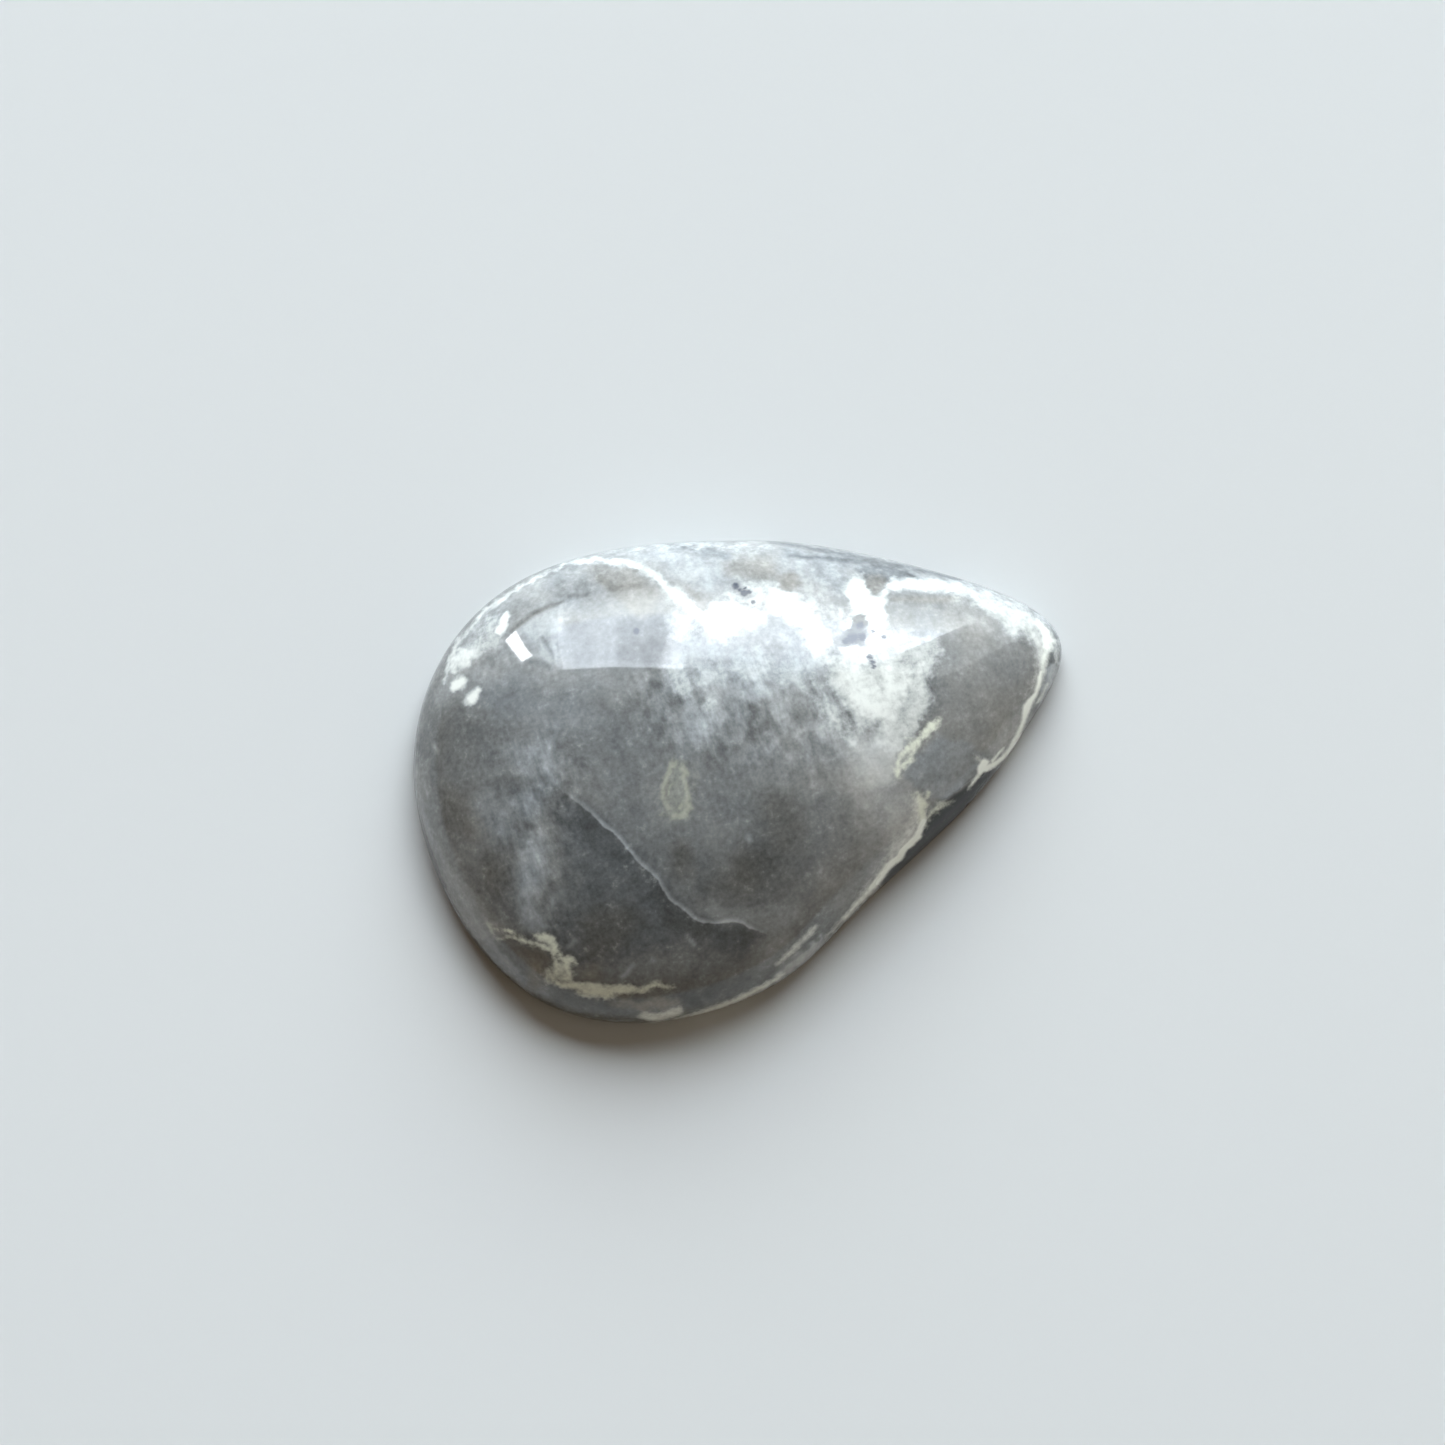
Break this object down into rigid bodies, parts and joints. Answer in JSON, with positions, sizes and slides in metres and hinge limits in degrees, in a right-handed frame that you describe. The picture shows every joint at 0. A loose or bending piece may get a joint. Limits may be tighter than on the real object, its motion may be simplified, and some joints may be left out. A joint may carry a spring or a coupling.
{
  "type": "serpentine cabochon",
  "caption": "Pear-shaped polished stone with a domed top and a flat ground back, for setting in jewellery or laying on a surface.",
  "frame": {"origin": "middle of the stone's outline, on its flat back", "axes": "+Z out of the dome's top, +X along the stone's length towards its point, +Y across it"},
  "size_m": [0.045, 0.0322, 0.009],
  "materials": {
    "polished_serpentine": "gloss polish on the dome, fine ground on the flat back; grey with white clouds and cream veins"
  },
  "bodies": {
    "root": {"serpentine_cabochon": "polished_serpentine"}
  },
  "joints": []
}
